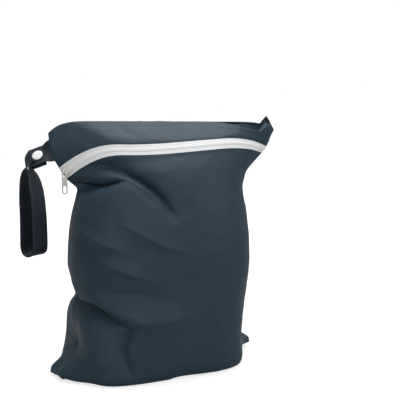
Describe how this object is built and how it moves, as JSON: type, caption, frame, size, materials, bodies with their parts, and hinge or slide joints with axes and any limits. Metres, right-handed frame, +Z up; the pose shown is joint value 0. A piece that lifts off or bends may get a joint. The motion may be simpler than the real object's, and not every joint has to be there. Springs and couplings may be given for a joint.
{
  "type": "cloth diaper wet bag",
  "caption": "Filled cloth wet bag standing on its base, closed by a zip across the front below the top, with a snap strap loop at one side.",
  "frame": {"origin": "on the flat base, where the bag stands, just in front of the bottom seam and midway across the base", "axes": "+Z up, -Y out of the front with the zip, +X to the right as seen from the front"},
  "size_m": [0.3146, 0.1618, 0.2948],
  "materials": {
    "coated_cloth": "dark slate blue coated cloth, soft satin sheen",
    "strap_cloth": "the same cloth, folded and stitched along its edges",
    "zip_tape": "white woven tape, matt",
    "zip_coil": "white nylon coil",
    "plated_metal": "plated zinc, soft polish",
    "snap_plastic": "white moulded plastic"
  },
  "bodies": {
    "bag": {"front_panel": "coated_cloth", "back_panel": "coated_cloth", "top_strip": "coated_cloth", "zip_tape_lower": "zip_tape", "zip_tape_upper": "zip_tape", "zip_coil": "zip_coil", "zip_slider": "plated_metal", "strap": "strap_cloth", "snap_stud": "snap_plastic", "snap_socket": "snap_plastic"},
    "pull": {"zip_pull": "plated_metal"}
  },
  "joints": [
    {"name": "pull_swing", "type": "hinge", "parent": "bag", "child": "pull", "pos_m": [-0.10441, 0.01286, 0.23282], "axis": [-0.7403, 0.6723, 0], "range_deg": [0, 150]}
  ]
}
